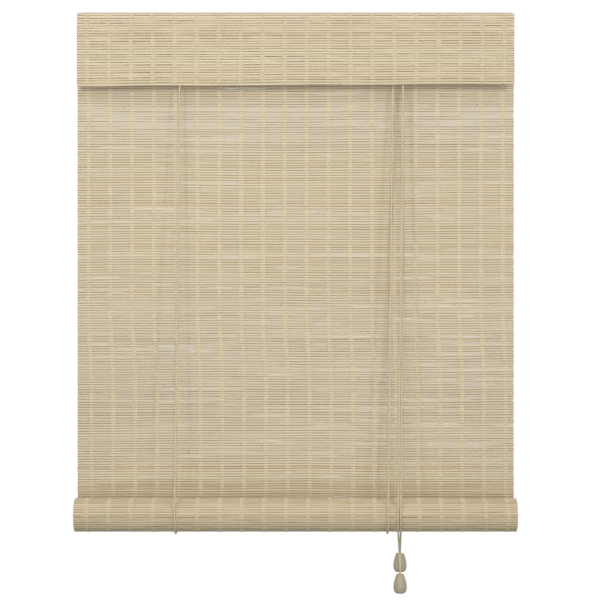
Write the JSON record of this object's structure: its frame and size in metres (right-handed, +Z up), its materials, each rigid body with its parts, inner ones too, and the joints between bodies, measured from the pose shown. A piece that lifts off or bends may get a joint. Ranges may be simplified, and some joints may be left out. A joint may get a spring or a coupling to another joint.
{
  "type": "bamboo roll up blind",
  "caption": "Window blind of woven bamboo slats on a wooden head rail, with a valance, rolled up from below by two cords that end in acorn weights on the right.",
  "frame": {"origin": "middle of the two fixing holes, on the top face of the head rail", "axes": "+X across the blind to the right as seen from the room, +Y towards the window, +Z up"},
  "size_m": [0.6, 0.071, 0.7865],
  "materials": {
    "bamboo": "split bamboo, dry and matt",
    "warp_thread": "cotton yarn",
    "rail_wood": "planed pine",
    "rod_wood": "turned dowel",
    "cord": "braided cotton",
    "steel": "zinc plated",
    "wheel_plastic": "moulded",
    "acorn_plastic": "moulded, satin"
  },
  "bodies": {
    "head": {"head_rail": "rail_wood", "valance_mat": "bamboo", "valance_threads": "warp_thread", "hanging_mat": "bamboo", "hanging_threads": "warp_thread", "mat_staples": "steel", "anchor_eyes": "steel", "anchor_knots": "cord", "left_pulley_bracket": "steel", "left_pulley_axle": "steel", "lock_case": "steel", "lock_axle": "steel", "pulley_screws": "steel", "left_cross_cord": "cord", "right_turn_cord": "cord", "left_pull_cord": "cord", "right_pull_cord": "cord"},
    "cord_loops": {"left_lift_cord": "cord", "right_lift_cord": "cord"},
    "roll": {"rolled_mat": "bamboo", "rolled_threads": "warp_thread", "bottom_rod": "rod_wood"},
    "tassels": {"left_tassel_cord": "cord", "right_tassel_cord": "cord", "upper_acorn": "acorn_plastic", "lower_acorn": "acorn_plastic", "acorn_knots": "cord"},
    "left_wheel": {"left_pulley_wheel": "wheel_plastic"},
    "front_wheel": {"lock_wheel_front": "wheel_plastic"},
    "rear_wheel": {"lock_wheel_rear": "wheel_plastic"},
    "roller": {"lock_roller": "steel"}
  },
  "joints": [
    {"name": "roll_lift", "type": "slide", "parent": "head", "child": "cord_loops", "axis": [0, 0, 1], "range_m": [0, 0.55292], "deforming": ["hanging_mat", "hanging_threads", "left_lift_cord", "right_lift_cord", "left_pull_cord", "right_pull_cord"]},
    {"name": "roll_turn", "type": "hinge", "parent": "cord_loops", "child": "roll", "pos_m": [0, -0.01425, -0.6845], "axis": [1, 0, 0], "range_deg": [-1445, 5]},
    {"name": "tassel_drop", "type": "slide", "parent": "cord_loops", "child": "tassels", "axis": [0, 0, 1], "range_m": [-1.66, 0], "deforming": ["left_tassel_cord", "right_tassel_cord"]},
    {"name": "left_wheel_spin", "type": "hinge", "parent": "head", "child": "left_wheel", "pos_m": [-0.151, -0.0031, -0.036], "axis": [0, 1, 0], "continuous": true},
    {"name": "front_wheel_spin", "type": "hinge", "parent": "head", "child": "front_wheel", "pos_m": [0.141, -0.0031, -0.036], "axis": [0, 1, 0], "continuous": true},
    {"name": "rear_wheel_spin", "type": "hinge", "parent": "head", "child": "rear_wheel", "pos_m": [0.141, 0.0031, -0.036], "axis": [0, 1, 0], "continuous": true},
    {"name": "roller_slide", "type": "slide", "parent": "head", "child": "roller", "axis": [0.5, 0, -0.866], "range_m": [0, 0.0035]}
  ],
  "couplings": [
    {"joint": "roll_turn", "follows": "roll_lift", "rad_per_m": -45.455},
    {"joint": "tassel_drop", "follows": "roll_lift", "ratio": -3},
    {"joint": "left_wheel_spin", "follows": "roll_lift", "rad_per_m": 285.71},
    {"joint": "front_wheel_spin", "follows": "roll_lift", "rad_per_m": 285.71},
    {"joint": "rear_wheel_spin", "follows": "roll_lift", "rad_per_m": 285.71}
  ]
}
